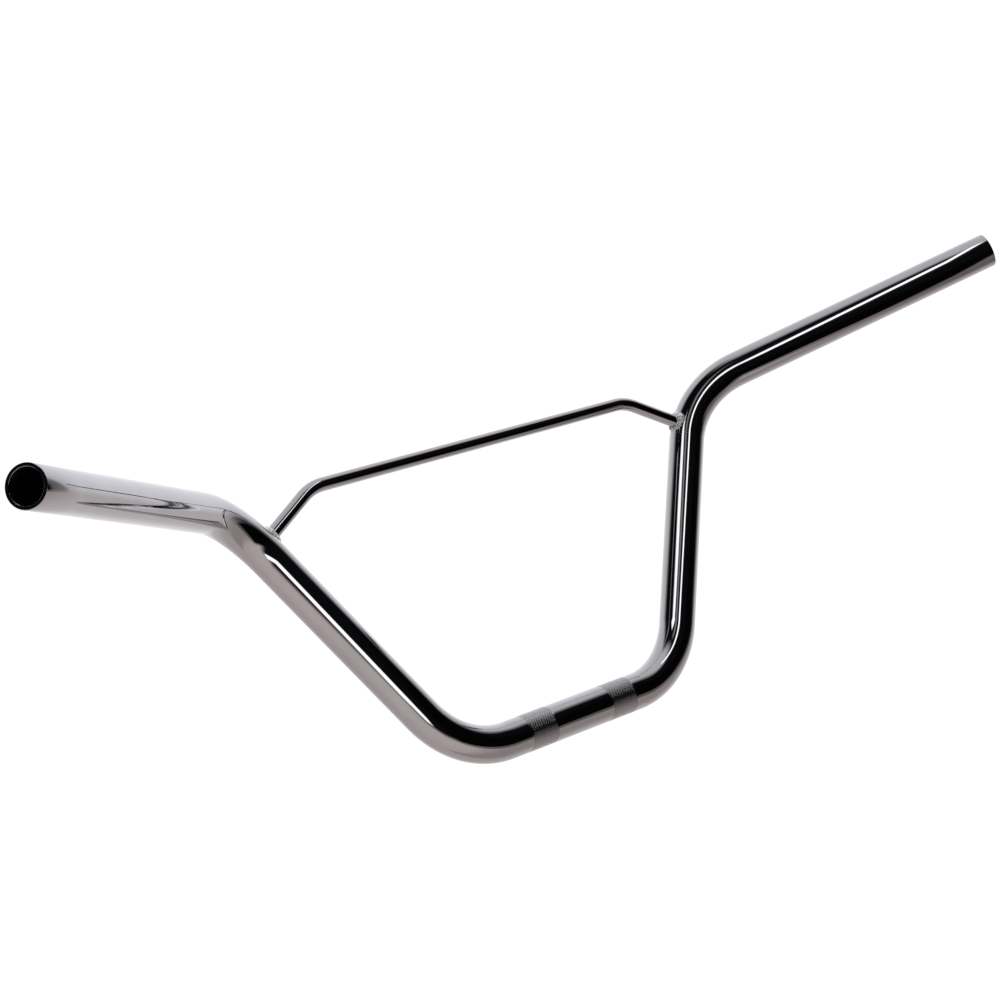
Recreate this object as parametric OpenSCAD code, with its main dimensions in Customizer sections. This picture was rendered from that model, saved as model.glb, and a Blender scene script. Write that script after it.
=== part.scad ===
// Motorcycle handlebar with a welded cross brace.
// One tube with four bends is open at both ends. A bent rod joins the two risers.
// Origin: middle of the tube's axis between the lower bends, where the clamp holds it.
// +X runs along the bar to the side on the photograph's right, +Z up the risers.
// The grips are swept towards -Y, where the rider sits. Sizes in millimetres.

/* [Tube] */
// outside diameter of the tube
tube_d = 22.2; // [19:0.1:32]
// wall thickness of the tube
tube_wall = 2; // [1:0.1:4]
// small bevel on both edges of each open end
end_bevel = 0.3; // [0.1:0.1:0.8]

/* [Bends] */
// straight length between the lower bends
centre_len = 104; // [90:1:260]
// radius of the lower bends, measured to the tube's axis
low_bend_r = 60; // [35:1:120]
// angle through which each lower bend turns
low_bend_angle = 60; // [20:0.5:85]
// straight length of each riser
riser_len = 123; // [60:1:300]
// radius of the upper bends, measured to the tube's axis
up_bend_r = 60; // [35:1:120]
// angle through which each upper bend turns
up_bend_angle = 59.5; // [20:0.5:85]
// turn of the upper bends out of the plane of the risers, towards the rider
sweep_turn = 40; // [0:0.5:80]
// straight length of each grip
grip_len = 184; // [120:1:260]

/* [Knurled bands] */
// width of each knurled band under the clamps
knurl_width = 20; // [10:0.5:35]
// distance between the middles of the two bands
knurl_spacing = 65; // [40:1:80]
// distance of the pair of bands from the middle of the bar
knurl_offset = 1; // [-10:0.5:10]
// mean depth of the knurling below the plain tube
knurl_depth = 0.1; // [0.05:0.05:0.3]

/* [Cross brace] */
// diameter of the brace rod
brace_d = 8; // [6:0.1:12]
// distance from the start of the upper bend to the rod's axis, along the bend
brace_seat = 9.6; // [6:0.1:20]
// slope of the rod's outer legs
brace_slope = 29; // [15:0.5:45]
// height of the rod's middle above the points where it meets the tube
brace_rise = 25.6; // [15:0.5:40]
// bend radius of the rod, measured to its axis
brace_bend_r = 32; // [12:1:60]

/* [Weld beads] */
// number of ripples in each bead around the rod
bead_ripples = 16; // [10:1:24]
// radius of one ripple
bead_r = 2.3; // [1.8:0.1:3.5]

/* [Hidden] */
$fn = 64;
chrome = [0.8, 0.8, 0.83];

tube_r = tube_d / 2;
bore_r = tube_r - tube_wall;
brace_r = brace_d / 2;
// drawing a bend leaves its section this much fuller than the straight tube
swell = 0.05;
// length by which a straight leg runs into its bend
lap = 0.5;

// start of the upper bend on the tube's axis, in the plane of the risers
low_x = centre_len / 2 + low_bend_r * sin(low_bend_angle);
low_z = low_bend_r * (1 - cos(low_bend_angle));
up_x = low_x + riser_len * cos(low_bend_angle);
up_z = low_z + riser_len * sin(low_bend_angle);

// the rod's axis meets the tube's axis a little way into the upper bend
seat_turn = brace_seat / up_bend_r * 180 / PI;
seat_along = up_bend_r * sin(seat_turn);
seat_in = up_bend_r * (1 - cos(seat_turn));
seat_x = up_x + seat_along * cos(low_bend_angle)
  + seat_in * cos(sweep_turn) * sin(low_bend_angle);
seat_y = -seat_in * sin(sweep_turn);
seat_z = up_z + seat_along * sin(low_bend_angle)
  - seat_in * cos(sweep_turn) * cos(low_bend_angle);

// the brace's own corners
corner_x = seat_x - brace_rise / tan(brace_slope);
corner_cut = brace_bend_r * tan(brace_slope / 2);
leg_len = brace_rise / sin(brace_slope) - corner_cut;

// the bead follows the line where the rod meets the tube
bead_ring_r = brace_r + bead_r * 0.45;
bead_lift = bead_r * 0.25;

module section(outer, inner) {
  difference() {
    circle(r = outer);
    if (inner > 0) circle(r = inner);
  }
}

// a straight leg from z = 0 up, lapping into the bends at its ends
module straight(len, outer, inner, before, after) {
  translate([0, 0, -before])
    linear_extrude(len + before + after) section(outer, inner);
}

// a bend that starts at z = 0 and turns towards -x
module bend(bend_r, angle, outer, inner) {
  translate([-bend_r, 0, 0])
    rotate([90, 0, 0])
      rotate_extrude(angle = angle)
        translate([bend_r, 0]) section(outer, inner);
}

// carries what follows to the far end of a bend
module after_bend(bend_r, angle) {
  translate([-bend_r, 0, 0])
    rotate([0, -angle, 0])
      translate([bend_r, 0, 0]) children();
}

// the straight grip, bevelled at its open end
module grip(outer, inner) {
  if (inner > 0)
    rotate_extrude()
      polygon([
        [inner, -lap],
        [outer, -lap],
        [outer, grip_len - end_bevel],
        [outer - end_bevel, grip_len],
        [inner + end_bevel, grip_len],
        [inner, grip_len - end_bevel]
      ]);
  else
    straight(grip_len, outer, 0, lap, 0);
}

// everything on one side of the centre section, drawn from its end along +z
module bent_arm(outer, inner) {
  full = outer + swell;
  tight = inner > 0 ? inner - swell : 0;
  bend(low_bend_r, low_bend_angle, full, tight);
  after_bend(low_bend_r, low_bend_angle) {
    straight(riser_len, outer, inner, lap, lap);
    translate([0, 0, riser_len])
      rotate([0, 0, 180 - sweep_turn]) {
        bend(up_bend_r, up_bend_angle, full, tight);
        after_bend(up_bend_r, up_bend_angle) grip(outer, inner);
      }
  }
}

// one side of the bar, put in its place
module arm(outer, inner) {
  translate([centre_len / 2, 0, 0])
    rotate([0, 90, 0]) bent_arm(outer, inner);
}

module both_sides() {
  children();
  mirror([1, 0, 0]) children();
}

module knurl_cut(x) {
  translate([x - knurl_width / 2, 0, 0])
    rotate([0, 90, 0])
      linear_extrude(knurl_width) section(tube_r + 1, tube_r - knurl_depth);
}

module main_tube() {
  color(chrome)
    difference() {
      union() {
        translate([-centre_len / 2, 0, 0])
          rotate([0, 90, 0])
            straight(centre_len, tube_r, bore_r, lap, lap);
        both_sides() arm(tube_r, bore_r);
      }
      knurl_cut(knurl_offset - knurl_spacing / 2);
      knurl_cut(knurl_offset + knurl_spacing / 2);
    }
}

// the rod's leg from its corner down to the tube's axis
module brace_leg() {
  translate([corner_x - corner_cut, seat_y, seat_z + brace_rise])
    rotate([180, 0, 0])
      rotate([0, 90, 0]) {
        bend(brace_bend_r, brace_slope, brace_r + swell, 0);
        after_bend(brace_bend_r, brace_slope)
          straight(leg_len, brace_r, 0, lap, 0);
      }
}

module cross_brace() {
  color(chrome)
    difference() {
      union() {
        translate([-corner_x + corner_cut, seat_y, seat_z + brace_rise])
          rotate([0, 90, 0])
            straight(2 * (corner_x - corner_cut), brace_r, 0, lap, lap);
        both_sides() brace_leg();
      }
      both_sides() arm(tube_r, 0);
    }
}

// ripples laid one after another around the foot of the rod
module bead() {
  translate([seat_x, seat_y, seat_z])
    rotate([0, brace_slope - 90, 0])
      for (k = [0 : bead_ripples - 1]) {
        turn = 360 * k / bead_ripples;
        across = bead_ring_r * sin(turn);
        translate([
          bead_ring_r * cos(turn),
          across,
          sqrt(tube_r * tube_r - across * across) + bead_lift
        ])
          sphere(r = bead_r, $fn = 20);
      }
}

module weld() {
  difference() {
    bead();
    arm(tube_r, 0, $fn = 128);
    brace_leg($fn = 128);
  }
}

module weld_left() {
  color(chrome) mirror([1, 0, 0]) weld();
}

module weld_right() {
  color(chrome) weld();
}

main_tube();
cross_brace();
weld_left();
weld_right();
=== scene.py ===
import math

import bpy
import numpy as np
from mathutils import Matrix, Vector


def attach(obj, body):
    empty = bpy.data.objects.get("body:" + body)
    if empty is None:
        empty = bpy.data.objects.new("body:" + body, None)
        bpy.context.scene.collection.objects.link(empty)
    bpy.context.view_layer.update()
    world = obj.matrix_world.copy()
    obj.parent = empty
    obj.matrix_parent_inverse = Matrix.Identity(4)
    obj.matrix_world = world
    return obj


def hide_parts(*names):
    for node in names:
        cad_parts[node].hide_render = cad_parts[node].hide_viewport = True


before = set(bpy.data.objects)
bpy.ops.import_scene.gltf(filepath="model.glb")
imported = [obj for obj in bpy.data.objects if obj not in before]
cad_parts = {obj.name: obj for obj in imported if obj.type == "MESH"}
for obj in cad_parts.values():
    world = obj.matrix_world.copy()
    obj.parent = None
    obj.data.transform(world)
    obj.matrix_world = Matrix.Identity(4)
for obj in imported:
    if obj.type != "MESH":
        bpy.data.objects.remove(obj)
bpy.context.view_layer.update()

# Sizes of the bar in metres, those of the solids. Only the tube's radius and the grip's length
# are a trace smaller, which keeps the rounder visual model inside the solids' box.
TUBE_R = 0.01106
BORE_R = 0.0091
END_BEVEL = 0.0003
CENTRE = 0.104
LOW_R, LOW_TURN = 0.060, math.radians(60)
RISER = 0.123
UP_R, UP_TURN = 0.060, math.radians(59.5)
SWEEP = math.radians(40)
GRIP = 0.1839
BANDS = (-0.0415, -0.0215), (0.0235, 0.0435)
BRACE_R = 0.004
BRACE_SEAT = 0.0096  # along the upper bend, from the riser's top to the brace's foot
BRACE_SLOPE = math.radians(29)
BRACE_RISE = 0.0256
BRACE_BEND_R = 0.032
BRACE_STOP = 0.0102  # from the tube's axis to the rod's end, which lies inside the tube's wall

# Fineness of the meshes.
AROUND = 96
ROD_AROUND = 72
BEND_STEPS = 60
RUN_STEPS = 6
ROD_BEND_STEPS = 24
ROD_RUN_STEPS = 2
BEVEL_STEPS = 3
SHARP_ANGLE = math.radians(32)

# Knurled bands. Depths are below the tube's surface.
KNURL_ROWS = 14
GROOVE_DEPTH = 0.00009
BAND_EDGE_DEPTH = 0.00002
LAND_DEPTH = 0.00001
LAND_SHARE = 0.62  # the flat part of a diamond's half diagonal
BAND_GAP = 0.00012  # between a band and the ring beside it

# Weld beads.
BEAD_RIPPLES = 13
BEAD_TURNS = 20 * BEAD_RIPPLES
BEAD_STEPS = 18
BEAD_WIDTH = 0.0025
BEAD_BULGE = 1.04  # how much wider than high the bead is
BEAD_FROM, BEAD_SPAN = -24, 138  # the bead's round section in degrees
BEAD_LAG = 0.34  # how far the ripples bow, in ripples
BEAD_CREST, BEAD_VALLEY = 0.16, 0.06
BEAD_DRIFT, BEAD_JITTER = 0.10, 0.06
BEAD_SINK = 0.0001
BEAD_FOOT_R, BEAD_FOOT_DROP = 0.0034, 0.0007

# Material slots of the tube. The third is a darker chrome for the knurl's groove slopes and the
# bands' end walls: painted shade that dims their reflections.
PLATED, BARE, SHADED_GROOVES = 0, 1, 2

X_AXIS, Y_AXIS, Z_AXIS = np.eye(3)
FLIP_X = np.array([-1.0, 1.0, 1.0])


# ---------- centre lines ----------
# A line is a list of stations: the point, the way along the line and the ring's first way across.
def unit(v):
    return v / np.linalg.norm(v)


def turned(v, axis, angle):
    axis = unit(axis)
    return (
        v * math.cos(angle)
        + np.cross(axis, v) * math.sin(angle)
        + axis * (axis @ v) * (1 - math.cos(angle))
    )


def run_straight(line, length, steps):
    p, t, n = line[-1]
    for k in range(1, steps + 1):
        line.append((p + t * length * k / steps, t, n))


def run_bend(line, radius, angle, towards, steps):
    """Bends the line towards a unit vector across it, and carries the way across along."""
    p, t, n = line[-1]
    centre = p + towards * radius
    axis = np.cross(t, towards)
    for k in range(1, steps + 1):
        a = angle * k / steps
        line.append(
            (centre + turned(p - centre, axis, a), turned(t, axis, a), turned(n, axis, a))
        )


def upper_bend_way(riser_way):
    """The way the upper bend turns: outwards and down, swept back towards the rider."""
    outward = unit(np.cross(Y_AXIS, riser_way))
    return math.cos(SWEEP) * outward - math.sin(SWEEP) * Y_AXIS


def half_line():
    """From the middle section's end to the open end, on the +X side."""
    line = [(X_AXIS * CENTRE / 2, X_AXIS, Z_AXIS)]
    run_bend(line, LOW_R, LOW_TURN, Z_AXIS, BEND_STEPS)
    run_straight(line, RISER, RUN_STEPS)
    run_bend(line, UP_R, UP_TURN, upper_bend_way(line[-1][1]), BEND_STEPS)
    run_straight(line, GRIP - END_BEVEL, RUN_STEPS)
    return line


RIGHT = half_line()
RISER_TOP = RIGHT[BEND_STEPS + RUN_STEPS]


def brace_half():
    """The brace from its right top corner to its foot, with the seat and the tube's way there."""
    p, t, _ = RISER_TOP
    towards = upper_bend_way(t)
    turn = BRACE_SEAT / UP_R
    seat = p + t * UP_R * math.sin(turn) + towards * UP_R * (1 - math.cos(turn))
    tube_way = t * math.cos(turn) + towards * math.sin(turn)
    corner_x = seat[0] - BRACE_RISE / math.tan(BRACE_SLOPE)
    cut = BRACE_BEND_R * math.tan(BRACE_SLOPE / 2)
    leg = BRACE_RISE / math.sin(BRACE_SLOPE) - cut
    top = np.array([corner_x - cut, seat[1], seat[2] + BRACE_RISE])
    line = [(top, X_AXIS, Z_AXIS)]
    run_bend(line, BRACE_BEND_R, BRACE_SLOPE, -Z_AXIS, ROD_BEND_STEPS)
    run_straight(line, leg - BRACE_STOP, ROD_RUN_STEPS)
    return line, seat, tube_way


BRACE, SEAT, SEAT_TUBE_WAY = brace_half()


def mirrored(line):
    """The other side's line, which runs the other way."""
    return [(p * FLIP_X, -t * FLIP_X, n * FLIP_X) for p, t, n in reversed(line)]


# ---------- meshes ----------
class Mesh:
    def __init__(self):
        self.points, self.faces, self.smooth, self.mats = [], [], [], []

    def add(self, pts):
        start = len(self.points)
        self.points.extend([tuple(float(c) for c in p) for p in pts])
        return list(range(start, start + len(pts)))

    def face(self, ids, smooth=True, mat=PLATED):
        self.faces.append(tuple(ids))
        self.smooth.append(smooth)
        self.mats.append(mat)

    def bridge(self, a, b, smooth=True, mat=PLATED):
        n = len(a)
        for i in range(n):
            j = (i + 1) % n
            self.face((a[i], a[j], b[j], b[i]), smooth, mat)

    def make(self, name, mats):
        me = bpy.data.meshes.new(name)
        me.from_pydata(self.points, [], self.faces)
        me.polygons.foreach_set("use_smooth", self.smooth)
        me.polygons.foreach_set("material_index", self.mats)
        for m in mats:
            me.materials.append(m)
        me.validate()
        me.update()
        me.set_sharp_from_angle(angle=SHARP_ANGLE)
        ob = bpy.data.objects.new(name, me)
        bpy.context.scene.collection.objects.link(ob)
        return ob


def ring(station, radius, count=AROUND):
    p, t, n = station
    b = np.cross(t, n)
    angles = [2 * math.pi * k / count for k in range(count)]
    return [p + radius * (math.cos(a) * n + math.sin(a) * b) for a in angles]


def knurl_band(mesh, before, x0, x1):
    """Rows of flat-topped diamonds between crossing grooves, grown from the ring before.

    i counts half diamonds round the tube and j along it. Groove crossings lie where i + j is
    even, diamond centres where it is odd. The rows at both ends are cut through the middle.
    """
    last = 2 * KNURL_ROWS
    b = np.cross(X_AXIS, Z_AXIS)

    def at(i, j, depth):
        a = 2 * math.pi * i / AROUND
        across = math.cos(a) * Z_AXIS + math.sin(a) * b
        return X_AXIS * (x0 + j * (x1 - x0) / last) + (TUBE_R - depth) * across

    grid = {
        (i, j): mesh.add([at(i, j, GROOVE_DEPTH)])[0]
        for j in range(last + 1)
        for i in range(AROUND)
        if (i + j) % 2 == 0
    }
    for j in (0, last):
        for i in range(1, AROUND, 2):
            grid[i, j] = mesh.add([at(i, j, BAND_EDGE_DEPTH)])[0]

    def corner(i, j):
        return grid[i % AROUND, j]

    # the flat lands get the plain chrome, the groove slopes the darker chrome: painted shade in
    # the grooves
    for j in range(last + 1):
        for i in range((j + 1) % 2, AROUND, 2):
            left, right = corner(i - 1, j), corner(i + 1, j)
            if j == 0:
                middle, tip = corner(i, 0), corner(i, 1)
                mesh.face((left, middle, tip), False, SHADED_GROOVES)
                mesh.face((middle, right, tip), False, SHADED_GROOVES)
                continue
            if j == last:
                middle, tip = corner(i, last), corner(i, last - 1)
                mesh.face((left, tip, middle), False, SHADED_GROOVES)
                mesh.face((middle, tip, right), False, SHADED_GROOVES)
                continue
            rim = [left, corner(i, j - 1), right, corner(i, j + 1)]
            land = mesh.add(
                [
                    at(i - LAND_SHARE, j, LAND_DEPTH),
                    at(i, j - LAND_SHARE, LAND_DEPTH),
                    at(i + LAND_SHARE, j, LAND_DEPTH),
                    at(i, j + LAND_SHARE, LAND_DEPTH),
                ]
            )
            mesh.face(land, False)
            for s in range(4):
                e = (s + 1) % 4
                mesh.face((rim[s], rim[e], land[e], land[s]), False, SHADED_GROOVES)
    # the band's starting end wall gets the darker groove chrome too: painted shade
    mesh.bridge(before, [corner(i, 0) for i in range(AROUND)], False, SHADED_GROOVES)
    return [corner(i, last) for i in range(AROUND)]


def tube():
    m = Mesh()
    left = mirrored(RIGHT)

    def grow(prev, station, smooth=True, mat=PLATED):
        cur = m.add(ring(station, TUBE_R))
        m.bridge(prev, cur, smooth, mat)
        return cur

    def flat(x):
        """A station of the straight middle section."""
        return X_AXIS * x, X_AXIS, Z_AXIS

    # the outside, from the left open end to the right one
    outer_left = m.add(ring(left[0], TUBE_R))
    outer = outer_left
    for station in left[1:]:
        outer = grow(outer, station)
    for x0, x1 in BANDS:
        # two rings before and two after a band keep the reflections beside it straight
        outer = grow(outer, flat(x0 - 3 * BAND_GAP))
        outer = grow(outer, flat(x0 - BAND_GAP))
        outer = knurl_band(m, outer, x0, x1)
        # the band's closing end wall gets the darker groove chrome: painted shade
        outer = grow(outer, flat(x1 + BAND_GAP), False, SHADED_GROOVES)
        outer = grow(outer, flat(x1 + 3 * BAND_GAP))
    for station in RIGHT:
        outer = grow(outer, station)

    def rim(prev, station, way):
        """A round bevel, the flat rim and the bore's bevel. way is 1 where the line leads out."""
        p, t, n = station
        quarter = [math.pi / 2 * k / BEVEL_STEPS for k in range(BEVEL_STEPS + 1)]
        profile = [(a, TUBE_R - END_BEVEL * (1 - math.cos(a))) for a in quarter[1:]]
        profile += [(a, BORE_R + END_BEVEL * (1 - math.cos(a))) for a in reversed(quarter)]
        for a, radius in profile:
            cur = m.add(ring((p + way * t * END_BEVEL * math.sin(a), t, n), radius))
            if way > 0:
                m.bridge(prev, cur)
            else:
                m.bridge(cur, prev)
            prev = cur
        return prev

    inner_right = rim(outer, RIGHT[-1], 1)
    inner = rim(outer_left, left[0], -1)
    # the bore, at every second station
    for station in left[1::2] + RIGHT[1:-1:2]:
        cur = m.add(ring(station, BORE_R))
        m.bridge(cur, inner, True, BARE)
        inner = cur
    m.bridge(inner_right, inner, True, BARE)
    return m


def brace():
    m = Mesh()
    rings = [m.add(ring(s, BRACE_R, ROD_AROUND)) for s in mirrored(BRACE) + BRACE]
    for prev, cur in zip(rings, rings[1:]):
        m.bridge(prev, cur)
    m.face(reversed(rings[0]), False)
    m.face(rings[-1], False)
    return m


def bead(side, seed):
    """A hand-laid bead: overlapping ripples round the rod's foot, a little uneven in size."""
    rng = np.random.default_rng(seed)
    m = Mesh()
    up = -BRACE[-1][1]
    along = unit(SEAT_TUBE_WAY - up * (SEAT_TUBE_WAY @ up))
    cross = np.cross(up, along)

    def at(turn, r, lift):
        """A point r from the rod's axis, lifted off the tube's surface along the rod."""
        y = r * math.sin(turn)
        height = math.sqrt(max(TUBE_R**2 - y * y, 1e-9)) + lift
        return SEAT + along * r * math.cos(turn) + cross * y + up * height

    drift = [
        sum(
            rng.uniform(-1, 1)
            * math.cos(h * 2 * math.pi * k / BEAD_RIPPLES + rng.uniform(0, 6.28))
            for h in (1, 2, 3)
        )
        for k in range(BEAD_RIPPLES)
    ]
    size = [1 + BEAD_DRIFT * d + BEAD_JITTER * rng.uniform(-1, 1) for d in drift]
    rings = []
    for k in range(BEAD_TURNS):
        turn = 2 * math.pi * k / BEAD_TURNS
        section = []
        for s in range(BEAD_STEPS + 1):
            phi = math.radians(BEAD_FROM + BEAD_SPAN * s / BEAD_STEPS)
            bow = math.sin(math.pi * s / BEAD_STEPS)
            phase = (BEAD_RIPPLES * k / BEAD_TURNS - BEAD_LAG * bow) % BEAD_RIPPLES
            here = int(phase) % BEAD_RIPPLES
            part = phase - int(phase)
            blend = part * part * (3 - 2 * part)
            w = size[here] * (1 - blend) + size[(here + 1) % BEAD_RIPPLES] * blend
            crest = math.sin(math.pi * part) * BEAD_CREST - BEAD_VALLEY
            w *= BEAD_WIDTH * (1 + crest * (0.35 + 0.65 * bow))
            r = BRACE_R - BEAD_SINK + w * BEAD_BULGE * math.cos(phi)
            section.append(at(turn, r, w * math.sin(phi)))
        section.append(at(turn, BEAD_FOOT_R, -BEAD_FOOT_DROP))
        if side < 0:
            section = [p * FLIP_X for p in section]
        rings.append(m.add(section))
    for a, b in zip(rings, rings[1:] + rings[:1]):
        for i in range(len(a)):
            j = (i + 1) % len(a)
            quad = (a[i], b[i], b[j], a[j])
            m.face(quad if side > 0 else reversed(quad))
    return m


# ---------- materials ----------
class Nodes:
    """Small helpers to write a node tree as a few lines."""

    def __init__(self, tree):
        self.tree = tree
        tree.nodes.clear()

    def new(self, kind, **props):
        node = self.tree.nodes.new(kind)
        for k, v in props.items():
            setattr(node, k, v)
        return node

    def put(self, socket, value):
        if isinstance(value, bpy.types.NodeSocket):
            self.tree.links.new(value, socket)
        else:
            socket.default_value = value

    def math(self, op, a, b=None):
        node = self.new("ShaderNodeMath", operation=op)
        for i, v in enumerate((a, b)):
            if v is not None:
                self.put(node.inputs[i], v)
        return node.outputs[0]

    def product(self, *factors):
        result = factors[0]
        for factor in factors[1:]:
            result = self.math("MULTIPLY", result, factor)
        return result

    def dot(self, a, b):
        node = self.new("ShaderNodeVectorMath", operation="DOT_PRODUCT")
        self.put(node.inputs[0], a)
        self.put(node.inputs[1], b)
        return node.outputs["Value"]

    def ramp(self, value, lo, hi, to_lo=0.0, to_hi=1.0):
        node = self.new("ShaderNodeMapRange", interpolation_type="SMOOTHSTEP", clamp=True)
        self.put(node.inputs["Value"], value)
        for name, limit in (
            ("From Min", lo), ("From Max", hi), ("To Min", to_lo), ("To Max", to_hi),
        ):
            node.inputs[name].default_value = limit
        return node.outputs["Result"]

    def stops(self, value, stops):
        """A linear gradient through (position, colour) stops."""
        node = self.new("ShaderNodeValToRGB")
        node.color_ramp.interpolation = "LINEAR"
        els = node.color_ramp.elements
        while len(els) > 1:
            els.remove(els[-1])
        els[0].position, els[0].color = stops[0][0], (*stops[0][1], 1)
        for position, colour in stops[1:]:
            els.new(position).color = (*colour, 1)
        self.put(node.inputs[0], value)
        return node.outputs["Color"]

    def cover(self, value, stops):
        return self.stops(value, [(position, (c, c, c)) for position, c in stops])

    def mix(self, fac, a, b):
        node = self.new("ShaderNodeMix", data_type="RGBA")
        self.put(node.inputs[0], fac)
        self.put(node.inputs[6], a)
        self.put(node.inputs[7], b)
        return node.outputs[2]

    def noise(self, where, scale, detail, roughness=0.5):
        node = self.new("ShaderNodeTexNoise")
        self.put(node.inputs["Vector"], where)
        node.inputs["Scale"].default_value = scale
        node.inputs["Detail"].default_value = detail
        node.inputs["Roughness"].default_value = roughness
        return node.outputs["Fac"]

    def bump(self, height, distance):
        node = self.new("ShaderNodeBump")
        node.inputs["Strength"].default_value = 1.0
        node.inputs["Distance"].default_value = distance
        self.put(node.inputs["Height"], height)
        return node.outputs["Normal"]


def metal_material(name):
    """A new material with its nodes, its shader and the object's own coordinates."""
    mat = bpy.data.materials.new(name)
    mat.use_nodes = True
    n = Nodes(mat.node_tree)
    out = n.new("ShaderNodeOutputMaterial")
    shader = n.new("ShaderNodeBsdfPrincipled")
    n.put(out.inputs["Surface"], shader.outputs["BSDF"])
    return mat, n, shader, n.new("ShaderNodeTexCoord").outputs["Object"]


def chrome_material(name, tint, roughness, bump, grain, lumps=0.0, metal=1.0):
    """Chrome plate, a little uneven in tone and gloss. grain and lumps are noise scales."""
    mat, n, shader, where = metal_material(name)
    shader.inputs["Metallic"].default_value = metal
    shader.inputs["IOR"].default_value = 1.5
    cloud = n.noise(where, grain, 5, 0.6)
    fine = n.noise(where, grain * 14, 3)
    darker = [c * 0.955 for c in tint]
    n.put(shader.inputs["Base Color"], n.mix(n.ramp(cloud, 0.35, 0.7), (*tint, 1), (*darker, 1)))
    uneven = n.product(cloud, n.math("ADD", fine, 0.5))
    n.put(shader.inputs["Roughness"], n.ramp(uneven, 0.3, 0.75, *roughness))
    height = cloud
    if lumps:
        height = n.math("ADD", height, n.product(n.noise(where, lumps, 4), 1.6))
    n.put(shader.inputs["Normal"], n.bump(height, bump))
    return mat


def bore_material():
    """Bare dark steel, for the inside of the tube."""
    mat, n, shader, where = metal_material("bore_steel")
    shader.inputs["Metallic"].default_value = 0.85
    cloud = n.noise(where, 260, 6)
    dark, light = (0.02, 0.018, 0.017, 1), (0.055, 0.047, 0.042, 1)
    n.put(shader.inputs["Base Color"], n.mix(n.ramp(cloud, 0.38, 0.66), dark, light))
    n.put(shader.inputs["Roughness"], n.ramp(cloud, 0.3, 0.7, 0.42, 0.7))
    n.put(shader.inputs["Normal"], n.bump(cloud, 0.00008))
    return mat


CHROME = chrome_material(
    "chrome_tube", (0.83, 0.83, 0.85), (0.018, 0.05), bump=0.000006, grain=55
)
# darker chrome for the knurl's groove slopes and end walls: painted shade that dims their
# reflections
GROOVE_SHADE_CHROME = chrome_material(
    "chrome_knurl_painted_shade", (0.50, 0.49, 0.50), (0.06, 0.14), bump=0.00001, grain=300
)
ROD = chrome_material(
    "chrome_rod", (0.83, 0.83, 0.85), (0.02, 0.055), bump=0.000005, grain=80
)
WELD = chrome_material(
    "chrome_weld", (0.98, 0.96, 0.98), (0.24, 0.40), bump=0.00008, grain=420, lumps=700, metal=0.5
)
BORE = bore_material()

pieces = {
    "main_tube": (tube().make("tube_chromed", [CHROME, BORE, GROOVE_SHADE_CHROME]), "main_tube"),
    "cross_brace": (brace().make("brace_rod", [ROD]), "cross_brace"),
    "weld_left": (bead(-1, 7).make("weld_bead_left", [WELD]), "weld"),
    "weld_right": (bead(1, 19).make("weld_bead_right", [WELD]), "weld"),
}
for node, (piece, slot) in pieces.items():
    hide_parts(node)
    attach(piece, "root")


# ---------- studio ----------
# The studio's own frame: EYE is where the camera stands, and RIGHT_AXIS, DOWN_AXIS and AHEAD are
# the camera's axes at the photograph's view. The studio stays there when the camera moves.
EYE = Vector((-0.903366, -1.07085, 0.041265))
RIGHT_AXIS = Vector((0.733474, -0.592095, -0.333826))
DOWN_AXIS = Vector((-0.215535, 0.26318, -0.940362))
AHEAD = Vector((0.64464, 0.761682, 0.065418))

WHITE_SEEN = 1.05
STUDIO_LIGHT = 1.2
DARK_ROOM = (0.003, 0.003, 0.0034, 1)


def srgb(r, g, b):
    def lin(c):
        c /= 255
        return c / 12.92 if c <= 0.04045 else ((c + 0.055) / 1.055) ** 2.4

    return lin(r), lin(g), lin(b)


def grey(level, warm):
    """An sRGB grey with a trace of pink, pushed to warm (+) or to lavender (-)."""
    pink = 0.006 * (255 - level) + 0.5
    return srgb(level + warm * 0.5 + pink, level - 2 * pink, level - warm * 0.5 + pink)


def fading(n, off, *stops):
    """A gradient over the angle from the backdrop's middle: (degrees, level, warmth) stops."""
    return n.stops(off, [(angle / 180, grey(level, warm)) for angle, level, warm in stops])


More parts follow.
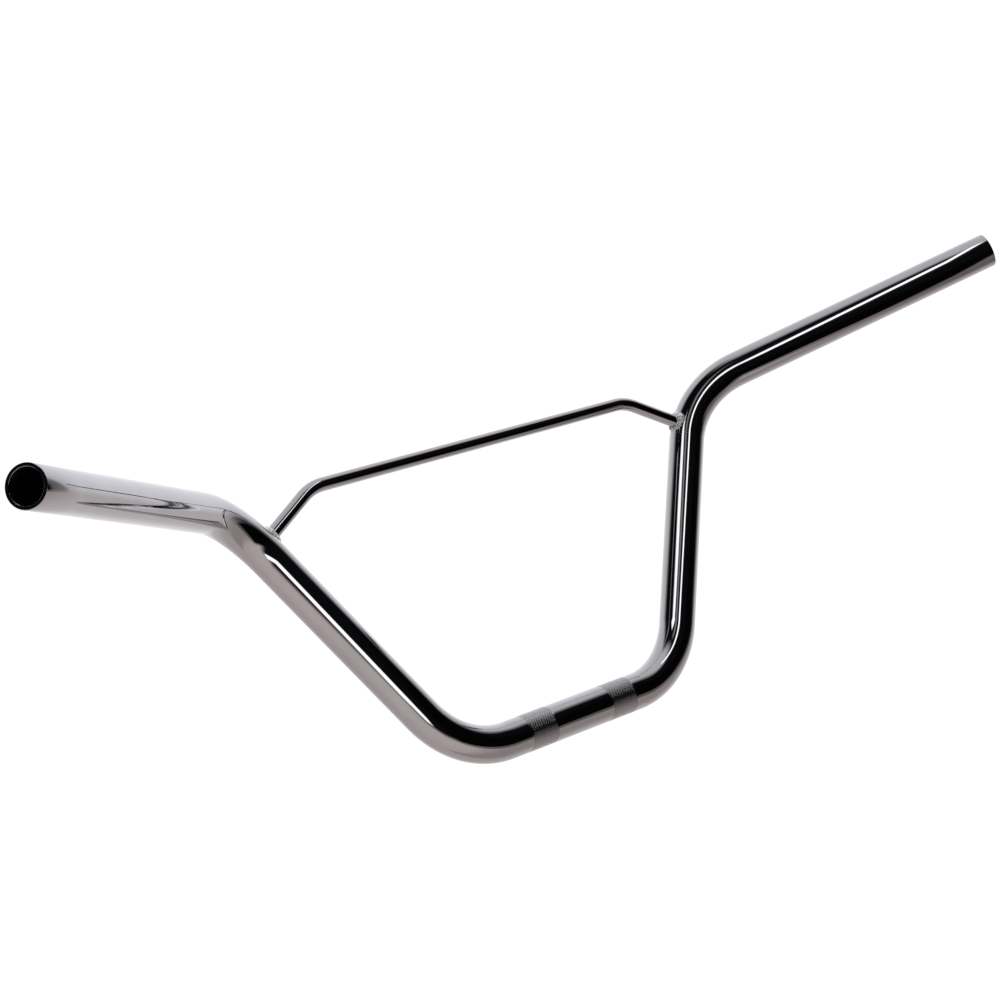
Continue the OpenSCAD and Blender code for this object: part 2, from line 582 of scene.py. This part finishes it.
def studio():
    """White backdrop ahead, pale table and ceiling, and a dark room behind the camera."""
    world = bpy.data.worlds.new("studio")
    bpy.context.scene.world = world
    world.use_nodes = True
    n = Nodes(world.node_tree)
    out = n.new("ShaderNodeOutputWorld")
    way = n.new("ShaderNodeTexCoord").outputs["Generated"]
    x = n.dot(way, tuple(RIGHT_AXIS))
    y = n.dot(way, tuple(-DOWN_AXIS))
    z = n.dot(way, tuple(-AHEAD))
    # el is the height in degrees. az goes round from 0 behind the camera, + to its right.
    el = n.product(n.math("ARCSINE", y), math.degrees(1))
    az = n.product(n.math("ARCTAN2", x, z), math.degrees(1))
    off = n.math("DIVIDE", n.math("ARCCOSINE", n.product(z, -1.0)), math.pi)
    top = fading(n, off, (0, 242, -1), (24, 211, -5), (58, 174, 0), (90, 167, 0), (180, 162, 0))
    low = fading(
        n, off,
        (0, 240, 0), (13, 225, 1), (36, 173, 4), (60, 149, 9), (90, 147, 12), (125, 158, 11),
    )
    colour = n.mix(n.ramp(el, -8, 8), low, top)
    # the table is darker on the right, in front of the dark room's side
    shade = n.product(n.ramp(az, 58, 84), n.ramp(az, 138, 104), n.ramp(el, 22, 0, 0, 0.32))
    colour = n.mix(shade, colour, (0, 0, 0, 1))
    # the dark room, between its left and right ends, its floor line and its ceiling line
    floor_line = n.math("ADD", n.ramp(az, 42, 80, 0, 29), -25.0)
    ceiling_line = n.ramp(az, 20, 98, 71.0, 59.0)
    sideways = n.product(n.ramp(az, -116, -88), n.ramp(az, 141, 101))
    upright = n.product(
        n.ramp(n.math("SUBTRACT", el, floor_line), -10, 6),
        n.ramp(n.math("SUBTRACT", ceiling_line, el), -12, 6),
    )
    colour = n.mix(n.product(sideways, upright), colour, DARK_ROOM)
    # the camera sees plain white, and everything else the studio
    seen = n.new("ShaderNodeBackground")
    seen.inputs["Color"].default_value = (1, 1, 1, 1)
    seen.inputs["Strength"].default_value = WHITE_SEEN
    lit = n.new("ShaderNodeBackground")
    n.put(lit.inputs["Color"], colour)
    lit.inputs["Strength"].default_value = STUDIO_LIGHT
    mixer = n.new("ShaderNodeMixShader")
    n.put(mixer.inputs[0], n.new("ShaderNodeLightPath").outputs["Is Camera Ray"])
    n.put(mixer.inputs[1], lit.outputs[0])
    n.put(mixer.inputs[2], seen.outputs[0])
    n.put(out.inputs["Surface"], mixer.outputs[0])


studio()


def placed(x, y, z):
    """A point given as metres to the right of, below and ahead of the camera."""
    return EYE + RIGHT_AXIS * x + DOWN_AXIS * y + AHEAD * z


def card(name, corners, light, cover_u, cover_v):
    """A studio card with soft edges, seen only in reflections.

    cover_u and cover_v are (position, cover) stops along its first and its second edge.
    """
    me = bpy.data.meshes.new(name)
    me.from_pydata([placed(*c) for c in corners], [], [(0, 1, 2, 3)])
    uv = me.uv_layers.new(name="UVMap")
    for loop, at in zip(uv.data, ((0, 0), (1, 0), (1, 1), (0, 1))):
        loop.uv = at
    mat = bpy.data.materials.new(name)
    mat.use_nodes = True
    n = Nodes(mat.node_tree)
    out = n.new("ShaderNodeOutputMaterial")
    parts = n.new("ShaderNodeSeparateXYZ")
    n.put(parts.inputs[0], n.new("ShaderNodeTexCoord").outputs["UV"])
    cover = n.product(n.cover(parts.outputs[0], cover_u), n.cover(parts.outputs[1], cover_v))
    glow = n.new("ShaderNodeEmission")
    glow.inputs["Color"].default_value = (*light, 1)
    glow.inputs["Strength"].default_value = 1.0
    mixer = n.new("ShaderNodeMixShader")
    n.put(mixer.inputs[0], cover)
    n.put(mixer.inputs[1], n.new("ShaderNodeBsdfTransparent").outputs[0])
    n.put(mixer.inputs[2], glow.outputs[0])
    n.put(out.inputs["Surface"], mixer.outputs[0])
    me.materials.append(mat)
    ob = bpy.data.objects.new(name, me)
    bpy.context.scene.collection.objects.link(ob)
    ob.visible_camera = False
    ob.visible_diffuse = False
    ob.visible_shadow = False
    ob.visible_transmission = False


SOFT_EDGES = ((0, 0), (0.25, 1), (0.75, 1), (1, 0))
SOFT_ENDS = ((0, 0), (0.06, 1), (0.94, 1), (1, 0))
BAR_MIDDLE = Vector((0.1, 0.0, 1.45))


def strip(name, a, b, width, light, side=SOFT_EDGES, ends=SOFT_ENDS):
    """A long softbox from a to b that faces the bar. side goes across it, ends along it."""
    a, b = Vector(a), Vector(b)
    to_bar = (BAR_MIDDLE - (a + b) / 2).normalized()
    across = (b - a).cross(to_bar).normalized() * (width / 2)
    corners = [tuple(p) for p in (a - across, a + across, b + across, b - across)]
    card(name, corners, light, side, ends)


# a black flag on the right: u runs away from the camera, v from its top edge down
card(
    "flag_right",
    [(0.46, -0.03, 0.90), (0.46, -0.42, 1.62), (0.46, 0.10, 1.62), (0.46, 0.49, 0.90)],
    (0.0012, 0.0012, 0.0014),
    ((0, 0), (0.15, 1), (0.74, 1), (0.80, 0.60), (0.93, 0.50), (1, 0)),
    ((0, 0), (0.25, 1), (0.78, 1), (0.83, 0.66), (0.96, 0.56), (1, 0)),
)
# the long white line on the right side, with a faint halo
strip(
    "softbox_overhead", (0.250, -0.375, 0.881), (0.42, -1.05, 1.33), 0.32, (1.35, 1.35, 1.38),
    ((0, 0), (0.33, 0.012), (0.375, 1), (0.625, 1), (0.67, 0.012), (1, 0)),
    ((0, 0), (0.05, 1), (0.97, 1), (1, 0)),
)
# the white line on the left riser
strip(
    "softbox_low", (0.315, 0.02, 0.655), (0.305, 0.44, 0.665), 0.21, (1.3, 1.3, 1.31),
    ((0, 0), (0.2, 0.95), (0.8, 1), (1, 0)),
)
# the second line on the right riser
strip("softbox_left", (-0.38, -0.90, 0.40), (-0.60, -1.15, 0.74), 0.42, (1.2, 1.2, 1.22))
# the grey between the right riser's two lines
card(
    "softbox_glow",
    [(-0.09, -0.50, 0.58), (0.10, -0.50, 0.58), (0.10, -0.93, 1.0), (-0.09, -0.93, 1.0)],
    (0.19, 0.19, 0.19), SOFT_EDGES, ((0, 0), (0.3, 1), (0.8, 1), (1, 0)),
)

FLOOR_R, FLOOR_Z, FLOOR_SIDES = 1.0, -0.5, 96
FLOOR_WHITE = (0.93, 0.93, 0.93, 1)


def floor():
    """A round sheet of pale paper under the bar."""
    me = bpy.data.meshes.new("floor")
    angles = [2 * math.pi * k / FLOOR_SIDES for k in range(FLOOR_SIDES)]
    pts = [(0.0, 0.0, FLOOR_Z)]
    pts += [(FLOOR_R * math.cos(a), FLOOR_R * math.sin(a), FLOOR_Z) for a in angles]
    me.from_pydata(pts, [], [(0, k + 1, (k + 1) % FLOOR_SIDES + 1) for k in range(FLOOR_SIDES)])
    mat = bpy.data.materials.new("floor_paper")
    mat.use_nodes = True
    shader = mat.node_tree.nodes["Principled BSDF"]
    shader.inputs["Base Color"].default_value = FLOOR_WHITE
    shader.inputs["Roughness"].default_value = 0.9
    shader.inputs["Specular IOR Level"].default_value = 0.1
    me.materials.append(mat)
    ob = bpy.data.objects.new("floor", me)
    bpy.context.scene.collection.objects.link(ob)
    ob.visible_glossy = False


floor()

sun = bpy.data.lights.new("ceiling_light", "SUN")
sun.energy = 2.7
sun.angle = math.radians(70)
lamp = bpy.data.objects.new("ceiling_light", sun)
bpy.context.scene.collection.objects.link(lamp)
lamp.visible_glossy = False

# ---------- camera ----------
cam = bpy.data.cameras.new("camera")
cam.sensor_width = 36
cam.lens = 85.725
cam.shift_x, cam.shift_y = -0.0005, 0.0005
cam.clip_start, cam.clip_end = 0.05, 50
eye = bpy.data.objects.new("camera", cam)
bpy.context.scene.collection.objects.link(eye)
eye.matrix_world = Matrix.Translation(EYE) @ Matrix(
    [(RIGHT_AXIS[i], -DOWN_AXIS[i], -AHEAD[i]) for i in range(3)]
).to_4x4()
bpy.context.scene.camera = eye
bpy.context.scene.view_settings.view_transform = "Standard"
